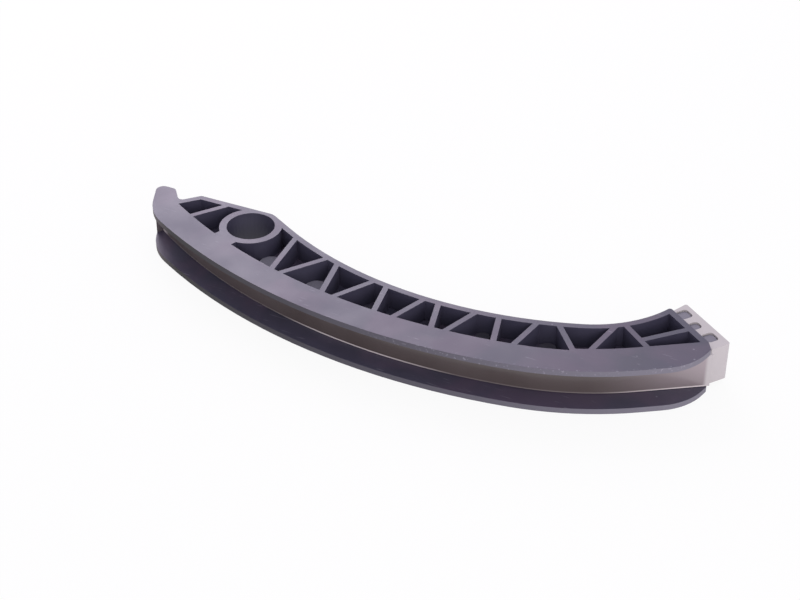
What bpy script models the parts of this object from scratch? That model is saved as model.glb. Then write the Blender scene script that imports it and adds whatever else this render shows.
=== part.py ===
"""Timing chain guide: a ribbed carrier with a chain channel along its convex side, and its sliding lining.

The guide lies on one side face, in metres, +Z up. The plan is drawn about the centre of the chain arc,
with angles in degrees. Places along the guide are lengths along that arc from its lowest point, negative
towards the bore. Both pieces are then moved so that the middle of the plan is the origin.
"""
from math import acos, atan2, ceil, cos, degrees, hypot, pi, radians, sin, tan

import bmesh
import bpy
from mathutils import Vector

MM = 0.001

# The chain's path over the lining's face: a long arc, a tighter arc, then a straight run
CHAIN_RADIUS = 244.9 * MM
CHAIN_START = -137.2 * MM
CHAIN_END = 49.6 * MM
END_RADIUS = 115.0 * MM
END_TURN = 22.8
END_RUN = 29.0 * MM

# Carrier
WIDTH = 20.0 * MM
FLANGE_THICKNESS = 2.4 * MM
FLANGE_RISE = 9.0 * MM
FLANGE_END_ANGLE = 44.6
FLANGE_END_RADIUS = 25.0 * MM
FLANGE_TIP_RADIUS = 1.0 * MM
FLANGE_SETBACK = 1.0 * MM
FLOOR_WALL = 1.7 * MM
BACK_WALL = 2.6 * MM
WEB_THICKNESS = 1.8 * MM
EDGE_BREAK = 0.3 * MM

# Back of the carrier at three places along it, each with its depth below the flange's rim
BACK_LEFT = (-79.1 * MM, 38.2 * MM)
BACK_MIDDLE = (8.1 * MM, 30.1 * MM)
BACK_RIGHT = (72.7 * MM, 31.2 * MM)

# Bore, and the boss around it
BORE_DIAMETER = 20.0 * MM
BORE_PLACE = -92.3 * MM
BORE_DEPTH = 27.4 * MM
BOSS_WALL = 3.1 * MM
BOSS_FOOT_WIDTH = 11.0 * MM

# Corners of the pad and the nose, from the bore's centre, each with its radius
PAD_RIGHT = (3.8 * MM, 12.0 * MM, 6.0 * MM)
PAD_LEFT = (-30.8 * MM, 11.0 * MM, 1.6 * MM)
NOTCH = (-37.6 * MM, 3.6 * MM, 2.2 * MM)
NOSE_BACK = (-43.8 * MM, 10.9 * MM, 2.5 * MM)
NOSE_FRONT = (-52.8 * MM, 10.7 * MM, 3.0 * MM)
FLANK_START = -118.8 * MM
FLANK_TURN = 37.5
FLANK_RADIUS = 28.0 * MM

# Truss ribs from the nose to the end wall: place of the rib's foot, and its lean from the radius there
RIB_THICKNESS = 2.3 * MM
RIBS = (
    (-115.8 * MM, -8.0), (-61.6 * MM, 20.0), (-56.8 * MM, -21.0), (-35.0 * MM, 19.0), (-29.1 * MM, -23.0),
    (-10.3 * MM, 13.0), (-1.7 * MM, -19.0), (14.5 * MM, 12.0), (20.5 * MM, -23.5), (39.8 * MM, 6.5),
    (47.9 * MM, -20.0), (71.0 * MM, 24.0), (76.1 * MM, -26.5), (102.6 * MM, 28.0),
)
RIB_REACH = 40.0 * MM
POCKET_CORNER = 0.8 * MM
END_FLOOR_START = 70.5 * MM
END_FLOOR_EXTRA = 1.1 * MM

# End wall: its tilt from square to the straight run, and its length from the back corner
END_TILT = 19.7
END_DEPTH = 29.7 * MM
END_SETBACK = 0.9 * MM
END_WALL = 2.7 * MM
END_WALL_LENGTH = 25.3 * MM
END_BACK_RADIUS = 1.0 * MM
END_FOOT_RADIUS = 4.0 * MM
BODY_SETBACK = 2.4 * MM
SPLIT_RIB = ((15.1 * MM, 0.0), (12.3 * MM, -21.8 * MM))

# Keys on the end wall: place along the wall, half width of the head, reach and corner radius
KEYS = (
    (4.1 * MM, 2.4 * MM, 6.1 * MM, 1.5 * MM),
    (12.2 * MM, 1.9 * MM, 5.1 * MM, 1.7 * MM),
    (21.0 * MM, 2.4 * MM, 6.1 * MM, 1.5 * MM),
)
KEY_NECK = 1.3 * MM
KEY_NECK_LENGTH = 1.7 * MM

# Lining and block
LINING_THICKNESS = 1.9 * MM
LINING_END_GAP = 0.6 * MM
LINING_SIDE_GAP = 0.3 * MM
SEAT_GAP = 0.3 * MM
BLOCK_THICKNESS = 8.2 * MM
BLOCK_FRONT = 27.6 * MM
BLOCK_OVERHANG = 1.3 * MM
BLOCK_LEAN = 11.0
BLOCK_HEIGHT = 16.4 * MM
BLOCK_CORNER = 0.8 * MM

# How far a facet may stand off a true arc, how far a cutter runs past what it cuts, the share of a side
# that fillets may use, and how close two points lie that are the same corner
ARC_ERROR = 0.03 * MM
PAST = 2.0 * MM
MOST_OF_SIDE = 0.98
SAME_POINT = 0.0002 * MM

# Most turn between two faces that count as one plane, and least turn that counts as a pocket's corner, as
# an outer edge and as a sharp edge
FLAT_TURN = 0.2
POCKET_TURN = 25.0
EDGE_TURN = 60.0
SHARP_TURN = 30.0

FLOOR_RISE = -(LINING_THICKNESS + SEAT_GAP)
POCKET_RISE = FLOOR_RISE - FLOOR_WALL


def polar(radius, angle, centre=Vector((0.0, 0.0))):
    """Plan point at an angle in degrees and a radius about a centre."""
    return centre + Vector((cos(radians(angle)), sin(radians(angle)))) * radius


def at_place(place):
    """Angle in degrees of a place along the chain arc."""
    return degrees(place / CHAIN_RADIUS) - 90.0


def angle_of(vector):
    return degrees(atan2(vector.y, vector.x))


def arc(centre, radius, start, end):
    """Points along an arc, close enough together that no facet stands off it by more than ARC_ERROR."""
    step = 2.0 * degrees(acos(1.0 - ARC_ERROR / radius))
    count = max(1, ceil(abs(end - start) / step))
    return [polar(radius, start + (end - start) * i / count, centre) for i in range(count + 1)]


def circle(centre, radius):
    return arc(centre, radius, 0.0, 360.0)[:-1]


def crossing(point, direction, other, other_direction):
    """Where two straight lines meet."""
    between = other - point
    slide = between.cross(other_direction) / direction.cross(other_direction)
    return point + direction * slide


def rounded(corners):
    """Closed outline from (point, radius) corners. Fillets share a short side by their radii."""
    outline = []
    for index, (corner, radius) in enumerate(corners):
        before, radius_before = corners[index - 1]
        after, radius_after = corners[(index + 1) % len(corners)]
        inward, outward = before - corner, after - corner
        turn = pi - inward.angle(outward)
        if radius == 0.0 or turn < radians(1.0):
            outline.append(corner)
            continue
        room_before = inward.length * radius / (radius + radius_before)
        room_after = outward.length * radius / (radius + radius_after)
        reach = min(radius * tan(turn / 2.0), MOST_OF_SIDE * room_before, MOST_OF_SIDE * room_after)
        radius = reach / tan(turn / 2.0)
        centre = corner + (inward.normalized() + outward.normalized()).normalized() * hypot(radius, reach)
        start = angle_of(corner + inward.normalized() * reach - centre)
        sweep = degrees(turn) if inward.cross(outward) < 0.0 else -degrees(turn)
        outline += arc(centre, radius, start, start + sweep)
    return outline


def trimmed(line, origin, normal):
    """The part of an open line of points on the far side of a straight cut, with the cut points added."""
    sides = [(point - origin).dot(normal) for point in line]
    kept = []
    for index, point in enumerate(line):
        if index and (sides[index] > 0.0) != (sides[index - 1] > 0.0):
            share = sides[index - 1] / (sides[index - 1] - sides[index])
            kept.append(line[index - 1].lerp(point, share))
        if sides[index] > 0.0:
            kept.append(point)
    return kept


def inset(line, distance):
    """An open line of points moved sideways to its left by a distance, with mitred corners."""
    moved = []
    for index, point in enumerate(line):
        before = line[max(index - 1, 0)]
        after = line[min(index + 1, len(line) - 1)]
        first = (point - before) if index else (after - point)
        last = (after - point) if index < len(line) - 1 else first
        side = first.normalized().orthogonal() + last.normalized().orthogonal()
        side.normalize()
        moved.append(point + side * (distance / side.dot(first.normalized().orthogonal())))
    return moved


ARC_CENTRE = Vector((0.0, 0.0))
END_ARC_CENTRE = polar(CHAIN_RADIUS - END_RADIUS, at_place(CHAIN_END))
RUN_ANGLE = at_place(CHAIN_END) + END_TURN + 90.0
RUN = polar(1.0, RUN_ANGLE)
OUT = polar(1.0, RUN_ANGLE - 90.0)


def chain_curve(rise, start, beyond=0.0):
    """The chain's path moved outwards by a rise, from a place to past the end of the straight run."""
    turn = at_place(CHAIN_END)
    long_arc = arc(ARC_CENTRE, CHAIN_RADIUS + rise, at_place(min(start, CHAIN_START)), turn)
    end_arc = arc(END_ARC_CENTRE, END_RADIUS + rise, turn, turn + END_TURN)
    whole = long_arc + end_arc[1:] + [end_arc[-1] + RUN * (END_RUN + beyond)]
    return trimmed(whole, ARC_CENTRE, polar(1.0, at_place(start) + 90.0))


END_CORNER = chain_curve(0.0, CHAIN_START)[-1]
WALL_OUT = polar(1.0, RUN_ANGLE + END_TILT)
WALL_ALONG = polar(1.0, RUN_ANGLE + END_TILT - 90.0)


def wall_point(along, out):
    """Plan point by its distance along the end wall from the back corner, and out from the wall."""
    return END_CORNER + WALL_ALONG * (along - END_DEPTH) + WALL_OUT * (out + END_SETBACK)


BORE_CENTRE = polar(CHAIN_RADIUS + FLANGE_RISE - BORE_DEPTH, at_place(BORE_PLACE))


def boss_corner(corner):
    return BORE_CENTRE + Vector(corner[:2]), corner[2]


def back_curve():
    """The carrier's back from the end wall to the pad: a sweep, a long hollow arc and the pad's slope."""
    rim = CHAIN_RADIUS + FLANGE_RISE
    stations = (BACK_LEFT, BACK_MIDDLE, BACK_RIGHT)
    left, middle, right = (polar(rim - depth, at_place(place)) for place, depth in stations)
    centre = crossing(
        (left + middle) / 2.0, (middle - left).orthogonal(),
        (middle + right) / 2.0, (right - middle).orthogonal(),
    )
    radius = (left - centre).length
    corner = wall_point(0.0, 0.0)
    towards = (centre - right).normalized()
    chord = corner - right
    sweep_radius = chord.length_squared / (2.0 * chord.dot(towards))
    sweep_centre = right + towards * sweep_radius
    sweep = arc(sweep_centre, sweep_radius, angle_of(corner - sweep_centre), angle_of(right - sweep_centre))
    hollow = arc(centre, radius, angle_of(right - centre), angle_of(left - centre))
    return sweep + hollow[1:]


def carrier_outline():
    """The plan outline that both flanges and the body share."""
    foot = at_place(FLANK_START)
    flank_centre = polar(CHAIN_RADIUS + FLANGE_RISE - FLANK_RADIUS, foot)
    flank = arc(flank_centre, FLANK_RADIUS, foot - FLANK_TURN, foot)
    rim = chain_curve(FLANGE_RISE, FLANK_START)
    tip = END_CORNER - RUN * FLANGE_SETBACK
    slant = polar(1.0, RUN_ANGLE + FLANGE_END_ANGLE)
    rim_end = crossing(tip, slant, END_CORNER + OUT * FLANGE_RISE, RUN)
    corners = [(point, 0.0) for point in flank + rim[1:-1]]
    corners += [(rim_end, FLANGE_END_RADIUS), (tip, FLANGE_TIP_RADIUS)]
    corners.append((wall_point(END_WALL_LENGTH, 0.0), END_FOOT_RADIUS))
    back = back_curve()
    corners += [(back[0], END_BACK_RADIUS)] + [(point, 0.0) for point in back[1:]]
    corners += [boss_corner(corner) for corner in (PAD_RIGHT, PAD_LEFT, NOTCH, NOSE_BACK, NOSE_FRONT)]
    return rounded(corners)


def pocket_outline():
    """The hollow between the channel's floor and the back, before the ribs and the boss divide it."""
    back = back_curve() + [boss_corner(PAD_RIGHT)[0], boss_corner(PAD_LEFT)[0], boss_corner(NOTCH)[0]]
    inner = inset(back, BACK_WALL)
    slope = inner[-1] - inner[-2]
    outer = chain_curve(POCKET_RISE, CHAIN_START - 2.0 * BORE_DIAMETER, PAST)
    outer = trimmed(outer, inner[-1], slope.orthogonal())
    end_inside = wall_point(0.0, -END_WALL)
    outer = trimmed(outer, end_inside, -WALL_OUT)
    inner = trimmed(inner[:-1], end_inside, -WALL_OUT)
    return outer + inner


def strip_box(name, start, end, width, bottom, top):
    """A straight upright wall between two plan points."""
    side = (end - start).normalized().orthogonal() * (width / 2.0)
    return prism(name, [start - side, end - side, end + side, start + side], bottom, top)


def key_outline(along, half_width, reach, radius, grow=0.0):
    """One key on the end wall: a neck and a wider rounded head, in plan."""
    root = -END_WALL / 2.0 if grow == 0.0 else -PAST
    neck, head = KEY_NECK + grow, half_width + grow
    shoulder = KEY_NECK_LENGTH - grow
    corners = [
        (wall_point(along - neck, root), 0.0),
        (wall_point(along - neck, shoulder), 0.0),
        (wall_point(along - head, shoulder), radius),
        (wall_point(along - head, reach + grow), radius),
        (wall_point(along + head, reach + grow), radius),
        (wall_point(along + head, shoulder), radius),
        (wall_point(along + neck, shoulder), 0.0),
        (wall_point(along + neck, root), 0.0),
    ]
    return rounded(corners)


def prism(name, outline, bottom, top):
    """A closed solid that stands on a plan outline from one height to another."""
    solid = bmesh.new()
    base = solid.faces.new([solid.verts.new((point.x, point.y, bottom)) for point in outline])
    extruded = bmesh.ops.extrude_face_region(solid, geom=[base])
    raised = [item for item in extruded["geom"] if isinstance(item, bmesh.types.BMVert)]
    bmesh.ops.translate(solid, verts=raised, vec=(0.0, 0.0, top - bottom))
    bmesh.ops.recalc_face_normals(solid, faces=solid.faces)
    mesh = bpy.data.meshes.new(name)
    solid.to_mesh(mesh)
    solid.free()
    result = bpy.data.objects.new(name, mesh)
    bpy.context.collection.objects.link(result)
    return result


def combine(target, tool, operation):
    """Union with, or difference by, a tool that is used up."""
    modifier = target.modifiers.new(operation, "BOOLEAN")
    modifier.operation = operation
    modifier.solver = "EXACT"
    modifier.object = tool
    depsgraph = bpy.context.evaluated_depsgraph_get()
    result = bpy.data.meshes.new_from_object(target.evaluated_get(depsgraph))
    target.modifiers.clear()
    target.data = result
    bpy.data.objects.remove(tool, do_unlink=True)


def edit(target, change):
    """Run a bmesh change on an object's mesh."""
    mesh = bmesh.new()
    mesh.from_mesh(target.data)
    change(mesh)
    mesh.to_mesh(target.data)
    mesh.free()


def merge_flat(mesh):
    """Join coplanar faces and drop points along straight edges."""
    bmesh.ops.remove_doubles(mesh, verts=mesh.verts, dist=SAME_POINT)
    bmesh.ops.dissolve_limit(
        mesh, angle_limit=radians(FLAT_TURN), verts=mesh.verts, edges=mesh.edges,
        use_dissolve_boundaries=False,
    )


def round_upright_corners(radius):
    """A change that rounds the upright corners of a pocket core."""
    def change(mesh):
        merge_flat(mesh)
        edges = []
        for edge in mesh.edges:
            upright = abs(edge.verts[0].co.z - edge.verts[1].co.z) > 0.5 * edge.calc_length()
            if upright and edge.calc_face_angle(0.0) > radians(POCKET_TURN):
                edges.append(edge)
        bmesh.ops.bevel(
            mesh, geom=edges, offset=radius, offset_type="OFFSET", segments=2, profile=0.5,
            affect="EDGES", clamp_overlap=True,
        )
    return change


def break_edges(mesh):
    """Take the sharpness off every outer edge, as a mould leaves it."""
    merge_flat(mesh)
    edges = []
    for edge in mesh.edges:
        level = abs(edge.verts[0].co.z - edge.verts[1].co.z) < 0.01 * MM
        if level and edge.is_convex and edge.calc_face_angle(0.0) > radians(EDGE_TURN):
            edges.append(edge)
    bmesh.ops.bevel(
        mesh, geom=edges, offset=EDGE_BREAK, offset_type="OFFSET", segments=1,
        affect="EDGES", clamp_overlap=True,
    )


def pocket_cores():
    """What the two halves of the mould fill, above and below the web: the pockets between the ribs."""
    low, high = -2.0 * PAST, WIDTH + 2.0 * PAST
    core = prism("pocket_cores", pocket_outline(), -PAST, WIDTH + PAST)
    for place, lean in RIBS:
        foot = at_place(place)
        direction = polar(1.0, foot + 180.0 + lean)
        start = polar(CHAIN_RADIUS + POCKET_RISE, foot) - direction * 4.0 * PAST
        rib = strip_box("rib", start, start + direction * RIB_REACH, RIB_THICKNESS, low, high)
        combine(core, rib, "DIFFERENCE")
    ends = [wall_point(*place) for place in SPLIT_RIB]
    combine(core, strip_box("split_rib", *ends, RIB_THICKNESS, low, high), "DIFFERENCE")
    inner = chain_curve(POCKET_RISE - END_FLOOR_EXTRA, END_FLOOR_START, PAST)
    outer = chain_curve(POCKET_RISE + PAST, END_FLOOR_START, PAST)
    combine(core, prism("end_floor", outer + inner[::-1], low, high), "DIFFERENCE")
    ring = circle(BORE_CENTRE, BORE_DIAMETER / 2.0 + BOSS_WALL)
    combine(core, prism("boss_ring", ring, low, high), "DIFFERENCE")
    foot_end = polar(BORE_DEPTH, at_place(BORE_PLACE), BORE_CENTRE)
    combine(core, strip_box("boss_foot", BORE_CENTRE, foot_end, BOSS_FOOT_WIDTH, low, high), "DIFFERENCE")
    edit(core, round_upright_corners(POCKET_CORNER))
    corners = [polar(2.0 * CHAIN_RADIUS, turn) for turn in (-135.0, -45.0, 45.0, 135.0)]
    web = prism("web", corners, (WIDTH - WEB_THICKNESS) / 2.0, (WIDTH + WEB_THICKNESS) / 2.0)
    combine(core, web, "DIFFERENCE")
    return core


def make_carrier():
    """The black moulding: flanges, channel floor, truss, boss, nose, end wall and keys."""
    carrier = prism("carrier", carrier_outline(), 0.0, WIDTH)
    floor = chain_curve(FLOOR_RISE, CHAIN_START, -BODY_SETBACK)
    outside = chain_curve(FLANGE_RISE + 4.0 * PAST, CHAIN_START, 2.0 * PAST)
    corner = [wall_point(END_WALL_LENGTH, 0.0), wall_point(END_WALL_LENGTH, 2.0 * PAST)]
    channel = prism("channel", floor + corner + outside[::-1], FLANGE_THICKNESS, WIDTH - FLANGE_THICKNESS)
    combine(carrier, channel, "DIFFERENCE")
    combine(carrier, pocket_cores(), "DIFFERENCE")
    bore = prism("bore", circle(BORE_CENTRE, BORE_DIAMETER / 2.0), -PAST, WIDTH + PAST)
    combine(carrier, bore, "DIFFERENCE")
    for key in KEYS:
        solid = prism("key", key_outline(*key), FLANGE_THICKNESS, WIDTH - FLANGE_THICKNESS)
        combine(carrier, solid, "UNION")
    edit(carrier, break_edges)
    return carrier


def make_lining():
    """The pale moulding: the strip that the chain rubs on, and the block that locks onto the keys."""
    face = chain_curve(0.0, CHAIN_START + LINING_END_GAP)
    back = chain_curve(-LINING_THICKNESS, CHAIN_START + LINING_END_GAP, -BODY_SETBACK)
    front_foot = wall_point(BLOCK_FRONT, (END_DEPTH - BLOCK_FRONT) * tan(radians(END_TILT)) - END_SETBACK)
    neck_start = wall_point(END_WALL_LENGTH + SEAT_GAP, SEAT_GAP / 2.0)
    neck_end = wall_point(END_WALL_LENGTH + SEAT_GAP, BLOCK_THICKNESS / 2.0)
    inside_front = wall_point(BLOCK_FRONT - SEAT_GAP, BLOCK_THICKNESS / 2.0)
    outline = face + [front_foot, inside_front, neck_end, neck_start] + back[::-1]
    side = FLANGE_THICKNESS + LINING_SIDE_GAP
    lining = prism("lining", outline, side, WIDTH - side)
    block_out = SEAT_GAP + BLOCK_THICKNESS
    lean = block_out * tan(radians(BLOCK_LEAN))
    block_corners = [
        (front_foot, 0.0),
        (wall_point(BLOCK_FRONT, block_out), BLOCK_CORNER),
        (wall_point(-BLOCK_OVERHANG, block_out), BLOCK_CORNER),
        (wall_point(lean - BLOCK_OVERHANG, SEAT_GAP), 0.0),
        (wall_point(END_WALL_LENGTH, SEAT_GAP), 0.0),
    ]
    low, high = (WIDTH - BLOCK_HEIGHT) / 2.0, (WIDTH + BLOCK_HEIGHT) / 2.0
    block = prism("block", rounded(block_corners), low, high)
    for key in KEYS:
        slot = prism("slot", key_outline(*key, grow=SEAT_GAP), low - PAST, high + PAST)
        combine(block, slot, "DIFFERENCE")
    combine(lining, block, "UNION")
    edit(lining, break_edges)
    return lining


def paint(target, name, colour, roughness):
    """Give a piece its own plain plastic material."""
    material = bpy.data.materials.new(name)
    material.use_nodes = True
    surface = material.node_tree.nodes["Principled BSDF"]
    surface.inputs["Base Color"].default_value = (*colour, 1.0)
    surface.inputs["Roughness"].default_value = roughness
    surface.inputs["Metallic"].default_value = 0.0
    target.data.materials.clear()
    target.data.materials.append(material)


def main():
    for old in list(bpy.data.objects):
        bpy.data.objects.remove(old, do_unlink=True)
    carrier = make_carrier()
    lining = make_lining()
    paint(carrier, "black_polyamide", (0.018, 0.017, 0.022), 0.45)
    paint(lining, "natural_polyamide", (0.42, 0.38, 0.36), 0.4)
    corners = [vertex.co for piece in (carrier, lining) for vertex in piece.data.vertices]
    middle = Vector((
        (min(corner.x for corner in corners) + max(corner.x for corner in corners)) / 2.0,
        (min(corner.y for corner in corners) + max(corner.y for corner in corners)) / 2.0,
        0.0,
    ))
    for piece in (carrier, lining):
        piece.location = -middle
        piece.data.shade_smooth()
        piece.data.set_sharp_from_angle(angle=radians(SHARP_TURN))


main()
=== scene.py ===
"""Looks of a timing chain guide: the finish of each moulding, the marks of the mould, and a pale stage."""
from math import cos, radians, sin

import bmesh
import bpy
from mathutils import Matrix, Vector


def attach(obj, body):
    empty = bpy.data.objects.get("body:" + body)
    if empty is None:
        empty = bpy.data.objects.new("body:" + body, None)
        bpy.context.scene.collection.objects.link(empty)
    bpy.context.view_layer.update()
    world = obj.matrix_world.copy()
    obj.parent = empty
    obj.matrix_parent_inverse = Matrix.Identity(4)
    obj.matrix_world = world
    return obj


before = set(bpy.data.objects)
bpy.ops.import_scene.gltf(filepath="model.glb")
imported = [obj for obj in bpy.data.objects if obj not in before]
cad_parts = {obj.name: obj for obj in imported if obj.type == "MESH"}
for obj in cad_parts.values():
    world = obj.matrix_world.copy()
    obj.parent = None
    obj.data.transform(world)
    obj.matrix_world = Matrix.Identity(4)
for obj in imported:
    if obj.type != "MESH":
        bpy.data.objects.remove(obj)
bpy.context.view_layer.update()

bl_info = {
    "name": "Timing chain guide finishes",
    "version": (1, 0, 0),
    "blender": (4, 5, 0),
    "location": "3D View > Sidebar > Chain Guide",
    "description": "Dresses a timing chain guide in moulded plastics and sets up a plain stage",
    "category": "Object",
}

MM = 0.001

# Centre and radius of each of the two arcs that the strip's face follows, where the second one starts, and
# how far the flanges' rims stand out of that face
FACE_ARCS = (((8.0 * MM, 217.1 * MM, 0.0), 244.9 * MM), ((34.1 * MM, 89.9 * MM, 0.0), 115.0 * MM))
END_ARC_FROM = 58.0 * MM
RIM_RISE = 9.0 * MM

# Heights of the web's upper side and of the keys' ends, and how far from that height an end may lie
WEB_TOP = 10.9 * MM
KEY_TOP = 17.6 * MM
KEY_TOP_MARGIN = 0.4 * MM

# Pads in the upper pockets that the ejector pins pushed on: place in plan and radius
EJECTOR_PADS = (
    (-60.6 * MM, -3.0 * MM, 5.0 * MM),
    (-35.5 * MM, -10.0 * MM, 5.0 * MM),
    (-8.2 * MM, -15.2 * MM, 4.6 * MM),
    (38.0 * MM, -10.2 * MM, 3.0 * MM),
    (63.3 * MM, -5.9 * MM, 3.7 * MM),
)

# How deep the pads reach into the web, so that no gap shows under them
PAD_SINK = 0.3 * MM

# Up to the first of these places along the guide the pads carry a painted sheen, and from the second on they
# are dark
PAD_SHEEN_AT = (-30.0 * MM, -14.0 * MM)

# A steep face is a rim where it stands further out of the strip's face than this
RIM_FROM = -2.0 * MM

# Where along the guide the rims have their four tones: painted reflection of the floor where pale, painted
# shade where dark
PAINTED_RIM_LIGHT_AT = (-126.0 * MM, -101.9 * MM, 18.6 * MM, 115.0 * MM)

# The nicks begin at the first of these places along the guide, and show in full from the second on
NICKS_AT = (-5.0 * MM, 40.0 * MM)

# Height from which the painted light on the strip beside the block is at full strength
FULL_PAINTED_GLOW_HEIGHT = 15.0 * MM

# Over this length the strip is painted paler at its free end, a painted light
FREE_END_FADE = 3.0 * MM

# How far up the painted highlight at the strip's foot fades, and how strongly it shows at places along the
# guide
FOOT_GLINT_FADE = 0.3 * MM
FOOT_GLINT_SHARES = (
    (-60.0 * MM, 0.12), (-44.0 * MM, 0.15), (-28.0 * MM, 0.9), (4.0 * MM, 0.85), (18.0 * MM, 0.6),
    (34.0 * MM, 0.12), (88.0 * MM, 0.15), (100.0 * MM, 0.6), (113.0 * MM, 1.0),
)

# The floor lies this far under the guide, so that no two faces share a plane
FLOOR_DROP = 0.02 * MM


def linear(hex_colour):
    """An sRGB hex colour as linear red, green, blue and an alpha of one."""
    channels = [int(hex_colour[index:index + 2], 16) / 255.0 for index in (1, 3, 5)]
    return tuple(c / 12.92 if c <= 0.04045 else ((c + 0.055) / 1.055) ** 2.4 for c in channels) + (1.0,)


def add_node(material, kind, settings=(), links=()):
    """Add a node. Settings go to an input by name or index, or to the node itself; links go to inputs."""
    node = material.node_tree.nodes.new(kind)
    for key, value in dict(settings).items():
        if isinstance(key, int) or key in node.inputs:
            node.inputs[key].default_value = value
        else:
            setattr(node, key, value)
    for key, output in dict(links).items():
        material.node_tree.links.new(output, node.inputs[key])
    return node


def new_material(name):
    """An empty node material and its output node."""
    material = bpy.data.materials.new(name)
    material.use_nodes = True
    material.node_tree.nodes.clear()
    return material, material.node_tree.nodes.new("ShaderNodeOutputMaterial")


def per_metre(millimetres):
    """Texture scale at which one cell of a pattern is this long."""
    return 1.0 / (millimetres * MM)


def tones_along(material, along, places, tones):
    """Colours that blend into each other from place to place along the guide."""
    start, end = places[0], places[-1]
    run = add_node(
        material, "ShaderNodeMapRange", {"From Min": start, "From Max": end}, {"Value": along},
    )
    ramp = add_node(material, "ShaderNodeValToRGB", (), {"Fac": run.outputs["Result"]})
    stops = ramp.color_ramp.elements
    for place in places[1:-1]:
        stops.new((place - start) / (end - start))
    for stop, tone in zip(stops, tones):
        stop.color = tone
    return ramp.outputs["Color"]


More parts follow.
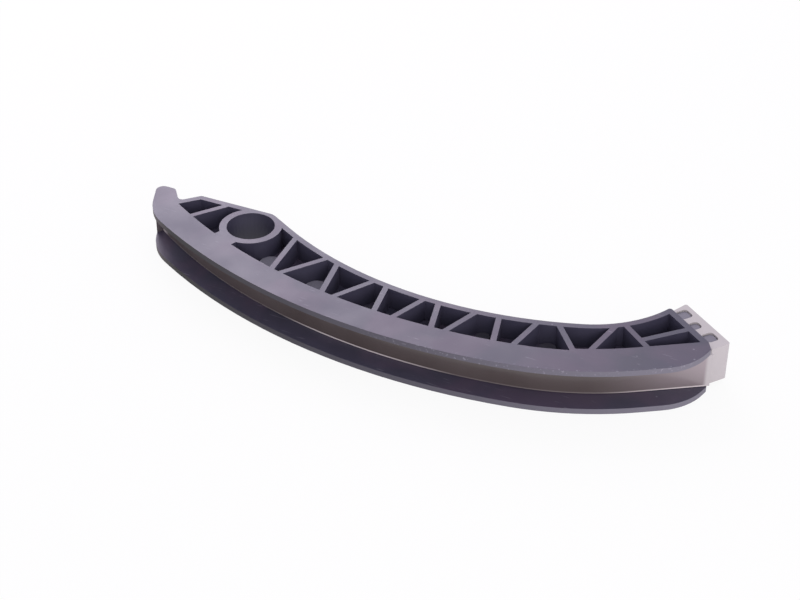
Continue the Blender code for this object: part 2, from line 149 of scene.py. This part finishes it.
def moulded_glass_filled_polyamide(look):
    """Black glass-filled polyamide as it leaves a steel mould: a soft sheen that a cloudy skin breaks up."""
    material, output = new_material("moulded_glass_filled_polyamide")
    place = add_node(material, "ShaderNodeTexCoord").outputs["Object"]

    # Clouds about 18 mm across, where the skin is richer in resin or in glass
    clouds = add_node(
        material, "ShaderNodeTexNoise",
        {"Scale": per_metre(18.0), "Detail": 3.0, "Roughness": 0.55}, {"Vector": place},
    )
    skin = add_node(
        material, "ShaderNodeMix",
        {"data_type": "RGBA", 6: linear(look.carrier_dark), 7: linear(look.carrier_pale)},
        {0: clouds.outputs["Fac"]},
    )
    # How level a face lies: the level faces are the ones that are handled and laid down
    normal = add_node(material, "ShaderNodeNewGeometry").outputs["Normal"]
    upright = add_node(material, "ShaderNodeSeparateXYZ", (), {"Vector": normal}).outputs["Z"]
    level = add_node(material, "ShaderNodeMath", {"operation": "ABSOLUTE"}, {0: upright})
    # A faint violet bloom in patches about 26 mm across, left by oil and handling
    bloom = add_node(
        material, "ShaderNodeTexNoise",
        {"Scale": per_metre(26.0), "Detail": 2.0, "Roughness": 0.5, "Distortion": 0.6}, {"Vector": place},
    )
    patches = add_node(
        material, "ShaderNodeMapRange",
        {"From Min": 0.46, "From Max": 0.62, "To Min": 0.0, "To Max": look.bloom},
        {"Value": bloom.outputs["Fac"]},
    )
    bloomed = add_node(
        material, "ShaderNodeMath", {"operation": "MULTIPLY"},
        {0: patches.outputs["Result"], 1: level.outputs["Value"]},
    )
    colour = add_node(
        material, "ShaderNodeMix", {"data_type": "RGBA", 7: linear(look.bloom_colour)},
        {0: bloomed.outputs["Value"], 6: skin.outputs[2]},
    )

    # Handling scratches: short thin dashes across the side faces
    across = add_node(
        material, "ShaderNodeMapping",
        {"Rotation": (0.0, 0.0, radians(38.0)), "Scale": (per_metre(9.0), per_metre(0.7), per_metre(5.0))},
        {"Vector": place},
    )
    dashes = add_node(
        material, "ShaderNodeTexNoise", {"Scale": 1.0, "Detail": 2.0, "Roughness": 0.5},
        {"Vector": across.outputs["Vector"]},
    )
    scratches = add_node(
        material, "ShaderNodeMapRange",
        {"From Min": 0.68, "From Max": 0.76}, {"Value": dashes.outputs["Fac"]},
    )
    # Pale specks of dust and dented skin, up to 1 mm across, one to each cell of 9 mm
    speckle = add_node(
        material, "ShaderNodeTexVoronoi", {"Scale": per_metre(9.0), "Randomness": 1.0}, {"Vector": place},
    )
    specks = add_node(
        material, "ShaderNodeMapRange",
        {"From Min": 0.030, "From Max": 0.055, "To Min": 1.0, "To Max": 0.0},
        {"Value": speckle.outputs["Distance"]},
    )
    marks = add_node(
        material, "ShaderNodeMath", {"operation": "MAXIMUM", "use_clamp": True},
        {0: scratches.outputs["Result"], 1: specks.outputs["Result"]},
    )
    shown = add_node(
        material, "ShaderNodeMath", {"operation": "MULTIPLY"},
        {0: marks.outputs["Value"], 1: level.outputs["Value"]},
    )
    worn = add_node(
        material, "ShaderNodeMath", {"operation": "MULTIPLY", 1: look.wear}, {0: shown.outputs["Value"]},
    )
    marked = add_node(
        material, "ShaderNodeMix", {"data_type": "RGBA", 7: linear(look.mark_colour)},
        {0: worn.outputs["Value"], 6: colour.outputs[2]},
    )

    # How far a point stands out of the strip's face, along whichever arc it lies on
    axes = add_node(material, "ShaderNodeSeparateXYZ", (), {"Vector": place})
    along = axes.outputs["X"]
    flat = add_node(
        material, "ShaderNodeVectorMath", {"operation": "MULTIPLY", 1: (1.0, 1.0, 0.0)}, {0: place},
    )
    rises = []
    for centre, radius in FACE_ARCS:
        reach = add_node(
            material, "ShaderNodeVectorMath", {"operation": "DISTANCE", 1: centre},
            {0: flat.outputs["Vector"]},
        )
        rise = add_node(
            material, "ShaderNodeMath", {"operation": "SUBTRACT", 1: radius}, {0: reach.outputs["Value"]},
        )
        rises.append(rise.outputs["Value"])
    on_end_arc = add_node(
        material, "ShaderNodeMath", {"operation": "GREATER_THAN", 1: END_ARC_FROM}, {0: along},
    )
    rise = add_node(
        material, "ShaderNodeMix", {"data_type": "FLOAT"},
        {0: on_end_arc.outputs["Value"], 2: rises[0], 3: rises[1]},
    ).outputs[0]

    # The flanges' rims carry painted reflection of the floor and painted shade: pale round the nose, dark
    # below the bore and paler and paler towards the block
    outside = add_node(material, "ShaderNodeMath", {"operation": "GREATER_THAN", 1: RIM_FROM}, {0: rise})
    steep = add_node(
        material, "ShaderNodeMapRange", {"From Min": 0.3, "From Max": 0.8, "To Min": 1.0, "To Max": 0.0},
        {"Value": level.outputs["Value"]},
    )
    rim = add_node(
        material, "ShaderNodeMath", {"operation": "MULTIPLY"},
        {0: outside.outputs["Value"], 1: steep.outputs["Result"]},
    )
    tones = [linear(tone) for tone in (look.painted_rim_nose, look.painted_rim_dark, look.painted_rim_middle, look.painted_rim_pale)]
    painted_rim_light = tones_along(material, along, PAINTED_RIM_LIGHT_AT, tones)
    with_painted_rim_light = add_node(
        material, "ShaderNodeMix", {"data_type": "RGBA"},
        {0: rim.outputs["Value"], 6: marked.outputs[2], 7: painted_rim_light},
    )
    # Nicks about 1 mm long where the upper rim has knocked against things, on the half beside the block
    chips = add_node(
        material, "ShaderNodeTexNoise", {"Scale": per_metre(1.2), "Detail": 2.0, "Roughness": 0.6},
        {"Vector": place},
    )
    chipped = add_node(
        material, "ShaderNodeMapRange",
        {"From Min": 0.60, "From Max": 0.66}, {"Value": chips.outputs["Fac"]},
    )
    edge = add_node(
        material, "ShaderNodeMapRange",
        {"From Min": RIM_RISE - look.nick_reach, "From Max": RIM_RISE, "To Min": 0.0, "To Max": look.nicks},
        {"Value": rise},
    )
    nicks = add_node(
        material, "ShaderNodeMath", {"operation": "MULTIPLY"},
        {0: chipped.outputs["Result"], 1: edge.outputs["Result"]},
    )
    half = add_node(
        material, "ShaderNodeMapRange",
        {"From Min": NICKS_AT[0], "From Max": NICKS_AT[1]}, {"Value": along},
    )
    above_web = add_node(
        material, "ShaderNodeMath", {"operation": "GREATER_THAN", 1: WEB_TOP}, {0: axes.outputs["Z"]},
    )
    where = add_node(
        material, "ShaderNodeMath", {"operation": "MULTIPLY"},
        {0: half.outputs["Result"], 1: above_web.outputs["Value"]},
    )
    nicked = add_node(
        material, "ShaderNodeMath", {"operation": "MULTIPLY"},
        {0: nicks.outputs["Value"], 1: where.outputs["Value"]},
    )
    knocked = add_node(
        material, "ShaderNodeMix", {"data_type": "RGBA", 7: linear(look.mark_colour)},
        {0: nicked.outputs["Value"], 6: with_painted_rim_light.outputs[2]},
    )
    # Level faces at the keys' height are made paler: the keys' ends, and the upper flange's underside at the
    # same height
    height = add_node(
        material, "ShaderNodeMath", {"operation": "COMPARE", 1: KEY_TOP, 2: KEY_TOP_MARGIN},
        {0: axes.outputs["Z"]},
    )
    key_ends = add_node(
        material, "ShaderNodeMath", {"operation": "MULTIPLY"},
        {0: level.outputs["Value"], 1: height.outputs["Value"]},
    )
    paled_key_ends = add_node(
        material, "ShaderNodeMath", {"operation": "MULTIPLY", 1: look.key_end_paling},
        {0: key_ends.outputs["Value"]},
    )
    finished = add_node(
        material, "ShaderNodeMix", {"data_type": "RGBA", 7: linear(look.mark_colour)},
        {0: paled_key_ends.outputs["Value"], 6: knocked.outputs[2]},
    )

    roughness = add_node(
        material, "ShaderNodeMapRange",
        {"From Min": 0.3, "From Max": 0.7, "To Min": look.carrier_roughness - 0.05,
         "To Max": look.carrier_roughness + 0.07},
        {"Value": clouds.outputs["Fac"]},
    )
    # The rims are duller than the faces
    dull = add_node(
        material, "ShaderNodeMix", {"data_type": "FLOAT", 3: look.rim_roughness},
        {0: rim.outputs["Value"], 2: roughness.outputs["Result"]},
    )
    # Grain of the skin, 1.2 mm, coarser than the real fibres so that it shows
    grain = add_node(
        material, "ShaderNodeTexNoise",
        {"Scale": per_metre(1.2), "Detail": 4.0, "Roughness": 0.6}, {"Vector": place},
    )
    bump = add_node(
        material, "ShaderNodeBump", {"Strength": 0.12, "Distance": 0.05 * MM},
        {"Height": grain.outputs["Fac"]},
    )
    # The index is set above polyamide's usual 1.53, to match how strongly the real skin shines
    surface = add_node(
        material, "ShaderNodeBsdfPrincipled", {"IOR": look.carrier_ior, "Metallic": 0.0},
        {"Base Color": finished.outputs[2], "Roughness": dull.outputs[0],
         "Normal": bump.outputs["Normal"]},
    )
    material.node_tree.links.new(surface.outputs["BSDF"], output.inputs["Surface"])
    return material


def pin_polished_polyamide(look):
    """Black polyamide under an ejector pin: the pin's ground face leaves a smoother disc, with a painted
    sheen on the pads at the bore's end.
    """
    material, output = new_material("pin_polished_polyamide")
    place = add_node(material, "ShaderNodeTexCoord").outputs["Object"]
    # Grinding marks of the pin's face, 0.6 mm apart
    turns = add_node(
        material, "ShaderNodeTexNoise",
        {"Scale": per_metre(0.6), "Detail": 2.0, "Roughness": 0.5}, {"Vector": place},
    )
    # The pads at the bore's end are painted paler, a painted sheen on their level tops
    along = add_node(material, "ShaderNodeSeparateXYZ", (), {"Vector": place}).outputs["X"]
    painted_pad_sheen = add_node(
        material, "ShaderNodeMapRange",
        {"From Min": PAD_SHEEN_AT[0], "From Max": PAD_SHEEN_AT[1], "To Min": 1.0, "To Max": 0.12},
        {"Value": along},
    )
    speckled = add_node(
        material, "ShaderNodeMapRange",
        {"From Min": 0.3, "From Max": 0.7, "To Min": 0.75, "To Max": 1.0}, {"Value": turns.outputs["Fac"]},
    )
    tone = add_node(
        material, "ShaderNodeMath", {"operation": "MULTIPLY"},
        {0: painted_pad_sheen.outputs["Result"], 1: speckled.outputs["Result"]},
    )
    colour = add_node(
        material, "ShaderNodeMix",
        {"data_type": "RGBA", 6: linear(look.pad_dark), 7: linear(look.pad_painted_sheen)},
        {0: tone.outputs["Value"]},
    )
    bump = add_node(
        material, "ShaderNodeBump", {"Strength": 0.1, "Distance": 0.03 * MM},
        {"Height": turns.outputs["Fac"]},
    )
    surface = add_node(
        material, "ShaderNodeBsdfPrincipled",
        {"IOR": look.carrier_ior, "Metallic": 0.0, "Roughness": look.pad_roughness},
        {"Base Color": colour.outputs[2], "Normal": bump.outputs["Normal"]},
    )
    material.node_tree.links.new(surface.outputs["BSDF"], output.inputs["Surface"])
    return material


def moulded_natural_polyamide(look):
    """Natural polyamide, moulded: milky where it is thick, browned by the black behind where it is thin."""
    material, output = new_material("moulded_natural_polyamide")
    place = add_node(material, "ShaderNodeTexCoord").outputs["Object"]
    axes = add_node(material, "ShaderNodeSeparateXYZ", (), {"Vector": place})
    clouds = add_node(
        material, "ShaderNodeTexNoise", {"Scale": per_metre(26.0), "Detail": 2.0, "Roughness": 0.4},
        {"Vector": place},
    )
    strip, painted_glow, block = (
        add_node(
            material, "ShaderNodeMix", {"data_type": "RGBA", 6: linear(dark), 7: linear(pale)},
            {0: clouds.outputs["Fac"]},
        )
        for dark, pale in (
            (look.strip_dark, look.strip_pale), (look.painted_glow_dark, look.painted_glow_pale),
            (look.block_dark, look.block_pale),
        )
    )

    # Painted light: the strip is painted paler beside the block, fading over the last part of the strip
    offset = add_node(
        material, "ShaderNodeVectorMath", {"operation": "SUBTRACT", 1: tuple(look.block_edge)}, {0: place},
    )
    depth = add_node(
        material, "ShaderNodeVectorMath", {"operation": "DOT_PRODUCT", 1: tuple(look.block_direction)},
        {0: offset.outputs["Vector"]},
    )
    painted_glow_reach = add_node(
        material, "ShaderNodeMapRange",
        {"From Min": -look.painted_glow_length, "From Max": 0.0, "interpolation_type": "SMOOTHSTEP"},
        {"Value": depth.outputs["Value"]},
    )
    # The painted light is stronger towards the strip's upper edge, where light from the floor falls
    painted_glow_height = add_node(
        material, "ShaderNodeMapRange",
        {"From Min": look.foot_top, "From Max": FULL_PAINTED_GLOW_HEIGHT, "To Min": 0.55, "To Max": 1.0},
        {"Value": axes.outputs["Z"]},
    )
    painted_glow_share = add_node(
        material, "ShaderNodeMath", {"operation": "MULTIPLY"},
        {0: painted_glow_reach.outputs["Result"], 1: painted_glow_height.outputs["Result"]},
    )
    with_painted_glow = add_node(
        material, "ShaderNodeMix", {"data_type": "RGBA"},
        {0: painted_glow_share.outputs["Value"], 6: strip.outputs[2], 7: painted_glow.outputs[2]},
    )
    # Painted light: the strip is painted paler at its free end
    end = add_node(
        material, "ShaderNodeMapRange",
        {"From Min": look.free_end, "From Max": look.free_end - FREE_END_FADE, "To Min": 0.0,
         "To Max": 0.6},
        {"Value": axes.outputs["X"]},
    )
    with_painted_end_light = add_node(
        material, "ShaderNodeMix", {"data_type": "RGBA", 7: linear(look.painted_light_colour)},
        {0: end.outputs["Result"], 6: with_painted_glow.outputs[2]},
    )
    # A painted highlight: a thin pale line where the strip's foot stands out of the lower flange, brighter
    # at some places along the guide than at others
    foot = add_node(
        material, "ShaderNodeMapRange",
        {"From Min": look.foot_top, "From Max": look.foot_top + FOOT_GLINT_FADE, "To Min": 1.0, "To Max": 0.0},
        {"Value": axes.outputs["Z"]},
    )
    foot_glint_share = tones_along(
        material, axes.outputs["X"], [x for x, share in FOOT_GLINT_SHARES],
        [(share, share, share, 1.0) for x, share in FOOT_GLINT_SHARES],
    )
    foot_glint = add_node(
        material, "ShaderNodeMath", {"operation": "MULTIPLY"},
        {0: foot.outputs["Result"], 1: foot_glint_share},
    )
    with_foot_glint = add_node(
        material, "ShaderNodeMix", {"data_type": "RGBA", 7: linear(look.painted_light_colour)},
        {0: foot_glint.outputs["Value"], 6: with_painted_end_light.outputs[2]},
    )
    # The strip is under 2 mm thick and the block 8 mm, so the colour turns where the strip meets the block
    thick = add_node(
        material, "ShaderNodeMapRange",
        {"From Min": -look.block_blend, "From Max": look.block_blend, "interpolation_type": "SMOOTHSTEP"},
        {"Value": depth.outputs["Value"]},
    )
    colour = add_node(
        material, "ShaderNodeMix", {"data_type": "RGBA"},
        {0: thick.outputs["Result"], 6: with_foot_glint.outputs[2], 7: block.outputs[2]},
    )

    roughness = add_node(
        material, "ShaderNodeMapRange",
        {"From Min": 0.3, "From Max": 0.7, "To Min": look.lining_roughness - 0.03,
         "To Max": look.lining_roughness + 0.04},
        {"Value": clouds.outputs["Fac"]},
    )
    # Faint orange peel of the moulded face, 2.5 mm across
    peel = add_node(
        material, "ShaderNodeTexNoise", {"Scale": per_metre(2.5), "Detail": 2.0, "Roughness": 0.5},
        {"Vector": place},
    )
    bump = add_node(
        material, "ShaderNodeBump", {"Strength": 0.06, "Distance": 0.04 * MM},
        {"Height": peel.outputs["Fac"]},
    )
    # As on the carrier, the index is set above the usual 1.53 to match the real gloss
    surface = add_node(
        material, "ShaderNodeBsdfPrincipled", {"IOR": look.lining_ior, "Metallic": 0.0},
        {"Base Color": colour.outputs[2], "Roughness": roughness.outputs["Result"],
         "Normal": bump.outputs["Normal"]},
    )
    material.node_tree.links.new(surface.outputs["BSDF"], output.inputs["Surface"])
    return material


def matt_white_paper(look):
    """Matt white paper. The eye and a gloss see it near white, and it keeps the object's faint shadow."""
    material, output = new_material("matt_white_paper")
    path = add_node(material, "ShaderNodeLightPath")
    seen = add_node(
        material, "ShaderNodeMath", {"operation": "MAXIMUM"},
        {0: path.outputs["Is Camera Ray"], 1: path.outputs["Is Glossy Ray"]},
    )
    share = add_node(
        material, "ShaderNodeMath", {"operation": "MULTIPLY", 1: look.floor_white},
        {0: seen.outputs["Value"]},
    )
    paper = add_node(material, "ShaderNodeBsdfDiffuse", {"Color": linear(look.floor_colour)})
    white = add_node(material, "ShaderNodeEmission", {"Color": (1.0, 1.0, 1.0, 1.0), "Strength": 1.0})
    mixed = add_node(
        material, "ShaderNodeMixShader", (),
        {0: share.outputs["Value"], 1: paper.outputs["BSDF"], 2: white.outputs["Emission"]},
    )
    material.node_tree.links.new(mixed.outputs["Shader"], output.inputs["Surface"])
    return material


def colour_property(name, description, default):
    """A text property that holds one sRGB hex colour."""
    return bpy.props.StringProperty(name=name, description=description, default=default)


class CarrierLook(bpy.types.PropertyGroup):
    """Finish of the carrier and of its ejector pads"""
    carrier_dark: colour_property("Dark colour", "Carrier colour in the darker clouds", "#3b394b")
    carrier_pale: colour_property("Pale colour", "Carrier colour in the paler clouds", "#4a485c")
    bloom_colour: colour_property("Bloom colour", "Colour of the violet patches", "#5a4a60")
    bloom: bpy.props.FloatProperty(
        name="Bloom", description="How strongly the violet patches show", default=0.5, min=0.0, max=1.0,
        subtype="FACTOR",
    )
    mark_colour: colour_property("Mark colour", "Colour of scratches and specks", "#a5a1ae")
    wear: bpy.props.FloatProperty(
        name="Wear", description="How strongly scratches and specks show", default=0.35, min=0.0, max=1.0,
        subtype="FACTOR",
    )
    # The four rim colours are painted reflection of the floor where pale, and painted shade where dark
    painted_rim_nose: colour_property("Rim nose", "Colour of the rims round the nose", "#6a6166")
    painted_rim_dark: colour_property("Rim shade", "Colour of the rims below the bore", "#171217")
    painted_rim_middle: colour_property("Rim middle", "Colour of the rims halfway", "#504d59")
    painted_rim_pale: colour_property("Rim pale", "Colour of the rims beside the block", "#7a7784")
    rim_roughness: bpy.props.FloatProperty(
        name="Rim roughness", description="Roughness of the rims", default=0.7, min=0.05, max=1.0,
    )
    nicks: bpy.props.FloatProperty(
        name="Nicks", description="How strongly the nicks in the rims show", default=0.5, min=0.0, max=1.0,
        subtype="FACTOR",
    )
    nick_reach: bpy.props.FloatProperty(
        name="Nick reach", description="How far nicks reach in from the rim", default=1.2 * MM, min=0.0,
        unit="LENGTH",
    )
    # How much paler the keys' ends are made
    key_end_paling: bpy.props.FloatProperty(
        name="Key wear", description="How strongly the keys' ends are rubbed", default=0.35,
        min=0.0, max=1.0, subtype="FACTOR",
    )
    carrier_roughness: bpy.props.FloatProperty(
        name="Roughness", description="Roughness of the carrier's skin", default=0.42, min=0.05, max=1.0,
    )
    carrier_ior: bpy.props.FloatProperty(
        name="IOR", description="Refractive index of the carrier's skin", default=1.62, min=1.0, max=2.0,
    )
    pad_dark: colour_property("Pad dark", "Colour of the pads that hardly show", "#302e3a")
    # The pale pad colour is a painted sheen
    pad_painted_sheen: colour_property("Pad pale", "Colour of the pads at the bore's end", "#9c99a8")
    pad_roughness: bpy.props.FloatProperty(
        name="Pad roughness", description="Roughness of the ejector pads", default=0.3, min=0.05, max=1.0,
    )
    pad_height: bpy.props.FloatProperty(
        name="Pad height", description="How far the ejector pads stand off the web", default=1.0 * MM,
        min=0.0, unit="LENGTH",
    )
    pad_chamfer: bpy.props.FloatProperty(
        name="Pad chamfer", description="How much the ejector pads narrow to their tops", default=0.3 * MM,
        min=0.0, unit="LENGTH",
    )


class LiningLook(bpy.types.PropertyGroup):
    """Finish of the lining's strip and block"""
    strip_dark: colour_property("Strip dark", "Strip colour in the darker clouds", "#4e4442")
    strip_pale: colour_property("Strip pale", "Strip colour in the paler clouds", "#635a5a")
    # These two colours are painted light on the strip beside the block
    painted_glow_dark: colour_property("Run-out dark", "Strip colour beside the block, darker", "#a2969c")
    painted_glow_pale: colour_property("Run-out pale", "Strip colour beside the block, paler", "#afa3a9")
    block_dark: colour_property("Block dark", "Block colour in the darker clouds", "#bcb6b8")
    block_pale: colour_property("Block pale", "Block colour in the paler clouds", "#c6c1c3")
    # This colour paints the highlight at the strip's foot and the light at its free end
    painted_light_colour: colour_property("Foot colour", "Colour of the line at the strip's foot", "#efe5e6")
    foot_top: bpy.props.FloatProperty(
        name="Foot top", description="Height of the top of the line at the strip's foot", default=3.1 * MM,
        min=0.0, unit="LENGTH",
    )
    # Where the painted light at the strip's free end begins
    free_end: bpy.props.FloatProperty(
        name="Free end", description="Where the strip begins to pale towards its free end",
        default=-117.0 * MM, unit="LENGTH",
    )
    painted_glow_length: bpy.props.FloatProperty(
        name="Glow length", description="Length of strip beside the block that is paler", default=44.0 * MM,
        min=0.0, unit="LENGTH",
    )
    block_edge: bpy.props.FloatVectorProperty(
        name="Block edge", description="A point where the strip meets the block", subtype="XYZ",
        unit="LENGTH", default=(121.0 * MM, 10.5 * MM, 10.0 * MM),
    )
    block_direction: bpy.props.FloatVectorProperty(
        name="Block direction", description="Direction from the strip into the block", subtype="DIRECTION",
        default=(0.5864, 0.8100, 0.0),
    )
    block_blend: bpy.props.FloatProperty(
        name="Block blend", description="Half the length over which the colour turns", default=0.8 * MM,
        min=0.0, unit="LENGTH",
    )
    lining_roughness: bpy.props.FloatProperty(
        name="Roughness", description="Roughness of the lining's skin", default=0.2, min=0.05, max=1.0,
    )
    lining_ior: bpy.props.FloatProperty(
        name="IOR", description="Refractive index of the lining's skin", default=1.62, min=1.0, max=2.0,
    )


class StageLook(bpy.types.PropertyGroup):
    """Floor, light from all round, and camera"""
    floor_colour: colour_property("Floor colour", "Colour of the paper that the guide lies on", "#f4f2f4")
    floor_white: bpy.props.FloatProperty(
        name="Floor white", description="Share of plain white in the paper as it is seen", default=0.9,
        min=0.0, max=1.0, subtype="FACTOR",
    )
    floor_size: bpy.props.FloatProperty(
        name="Floor size", description="Side of the square floor", default=12.0, min=1.0, unit="LENGTH",
    )
    camera_place: bpy.props.FloatVectorProperty(
        name="Camera place", description="Where the camera stands", subtype="XYZ", unit="LENGTH",
        default=(0.2547, -0.5098, 0.4126),
    )
    camera_direction: bpy.props.FloatVectorProperty(
        name="Camera direction", description="Where the camera looks", subtype="DIRECTION",
        default=(-0.36846, 0.72940, -0.57643),
    )
    lens: bpy.props.FloatProperty(
        name="Lens", description="Focal length on a sensor 36 mm wide", default=78.75, min=1.0,
        unit="CAMERA",
    )
    room_colour: colour_property("Room colour", "Colour of the light from all round", "#faf8ff")
    world_level: bpy.props.FloatProperty(
        name="Room light", description="Level of the light from all round", default=0.7, min=0.0,
    )


def add_lamp(name, azimuth, elevation, distance, size, power, colour):
    """A soft oblong lamp that faces the object from an azimuth and elevation in degrees."""
    data = bpy.data.lights.new(name, "AREA")
    data.shape = "RECTANGLE"
    data.size, data.size_y = size
    data.energy = power
    data.color = linear(colour)[:3]
    lamp = bpy.data.objects.new(name, data)
    bpy.context.collection.objects.link(lamp)
    level = cos(radians(elevation))
    towards = Vector((cos(radians(azimuth)) * level, sin(radians(azimuth)) * level, sin(radians(elevation))))
    lamp.location = towards * distance
    lamp.rotation_mode = "QUATERNION"
    lamp.rotation_quaternion = towards.to_track_quat("Z", "Y")


class GUIDE_OT_dress_carrier(bpy.types.Operator):
    """Give the carrier its black moulded finish"""
    bl_idname = "guide.dress_carrier"
    bl_label = "Dress Carrier"

    def execute(self, context):
        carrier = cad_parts["carrier"]
        carrier.data.materials.clear()
        carrier.data.materials.append(moulded_glass_filled_polyamide(context.scene.guide_carrier))
        return {"FINISHED"}


class GUIDE_OT_add_ejector_pads(bpy.types.Operator):
    """Stand the round ejector pads on the web of the upper pockets"""
    bl_idname = "guide.add_ejector_pads"
    bl_label = "Add Ejector Pads"

    def execute(self, context):
        look = context.scene.guide_carrier
        solid = bmesh.new()
        for x, y, radius in EJECTOR_PADS:
            middle = WEB_TOP + (look.pad_height - PAD_SINK) / 2.0
            bmesh.ops.create_cone(
                solid, cap_ends=True, segments=64, radius1=radius, radius2=radius - look.pad_chamfer,
                depth=look.pad_height + PAD_SINK, matrix=Matrix.Translation((x, y, middle)),
            )
        mesh = bpy.data.meshes.new("ejector_pads")
        solid.to_mesh(mesh)
        solid.free()
        mesh.shade_smooth()
        mesh.set_sharp_from_angle(angle=radians(30.0))
        mesh.materials.append(pin_polished_polyamide(look))
        pads = bpy.data.objects.new("ejector_pads", mesh)
        context.collection.objects.link(pads)
        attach(pads, "root")
        return {"FINISHED"}


class GUIDE_OT_dress_lining(bpy.types.Operator):
    """Give the lining its milky moulded finish"""
    bl_idname = "guide.dress_lining"
    bl_label = "Dress Lining"

    def execute(self, context):
        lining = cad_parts["lining"]
        lining.data.materials.clear()
        lining.data.materials.append(moulded_natural_polyamide(context.scene.guide_lining))
        return {"FINISHED"}


class GUIDE_OT_set_stage(bpy.types.Operator):
    """Lay the floor, hang the lamps and place the camera"""
    bl_idname = "guide.set_stage"
    bl_label = "Set Stage"

    def execute(self, context):
        look = context.scene.guide_stage
        mesh = bpy.data.meshes.new("floor")
        half = look.floor_size / 2.0
        corners = [(-half, -half, 0.0), (half, -half, 0.0), (half, half, 0.0), (-half, half, 0.0)]
        mesh.from_pydata(corners, [], [(0, 1, 2, 3)])
        floor = bpy.data.objects.new("floor", mesh)
        floor.location.z = -FLOOR_DROP
        floor.data.materials.append(matt_white_paper(look))
        context.collection.objects.link(floor)

        world = bpy.data.worlds.new("studio_room")
        world.use_nodes = True
        room = world.node_tree.nodes["Background"]
        room.inputs["Color"].default_value = linear(look.room_colour)
        room.inputs["Strength"].default_value = look.world_level
        context.scene.world = world

        # A window panel behind on the left, whose sheen lies on the upper faces
        add_lamp(
            "window_panel", azimuth=136.0, elevation=31.0, distance=1.4, size=(1.2, 0.8), power=11.0,
            colour="#f8eeff",
        )
        # A soft lamp on the right, for the block and the rims
        add_lamp(
            "side_lamp", azimuth=-42.0, elevation=27.0, distance=1.4, size=(1.3, 0.7), power=7.2,
            colour="#fffaf8",
        )

        data = bpy.data.cameras.new("camera")
        data.lens = look.lens
        data.sensor_width = 36.0
        camera = bpy.data.objects.new("camera", data)
        camera.location = look.camera_place
        camera.rotation_mode = "QUATERNION"
        camera.rotation_quaternion = Vector(look.camera_direction).to_track_quat("-Z", "Y")
        context.collection.objects.link(camera)
        context.scene.camera = camera
        context.scene.view_settings.view_transform = "Standard"
        return {"FINISHED"}


class GUIDE_PT_panel(bpy.types.Panel):
    """Steps that dress the guide, in order"""
    bl_idname = "GUIDE_PT_panel"
    bl_label = "Chain Guide"
    bl_space_type = "VIEW_3D"
    bl_region_type = "UI"
    bl_category = "Chain Guide"

    def draw(self, context):
        for operator in OPERATORS:
            self.layout.operator(operator.bl_idname)
        for group in (context.scene.guide_carrier, context.scene.guide_lining, context.scene.guide_stage):
            box = self.layout.box()
            for name in group.__annotations__:
                box.prop(group, name)


OPERATORS = (
    GUIDE_OT_dress_carrier, GUIDE_OT_add_ejector_pads, GUIDE_OT_dress_lining, GUIDE_OT_set_stage,
)
GROUPS = {"guide_carrier": CarrierLook, "guide_lining": LiningLook, "guide_stage": StageLook}


def register():
    for group in GROUPS.values():
        bpy.utils.register_class(group)
    for name, group in GROUPS.items():
        setattr(bpy.types.Scene, name, bpy.props.PointerProperty(type=group))
    for operator in OPERATORS:
        bpy.utils.register_class(operator)
    bpy.utils.register_class(GUIDE_PT_panel)


def unregister():
    bpy.utils.unregister_class(GUIDE_PT_panel)
    for operator in reversed(OPERATORS):
        bpy.utils.unregister_class(operator)
    for name, group in GROUPS.items():
        delattr(bpy.types.Scene, name)
        bpy.utils.unregister_class(group)


def main():
    register()
    bpy.ops.guide.dress_carrier()
    bpy.ops.guide.add_ejector_pads()
    bpy.ops.guide.dress_lining()
    bpy.ops.guide.set_stage()


if __name__ == "__main__":
    main()
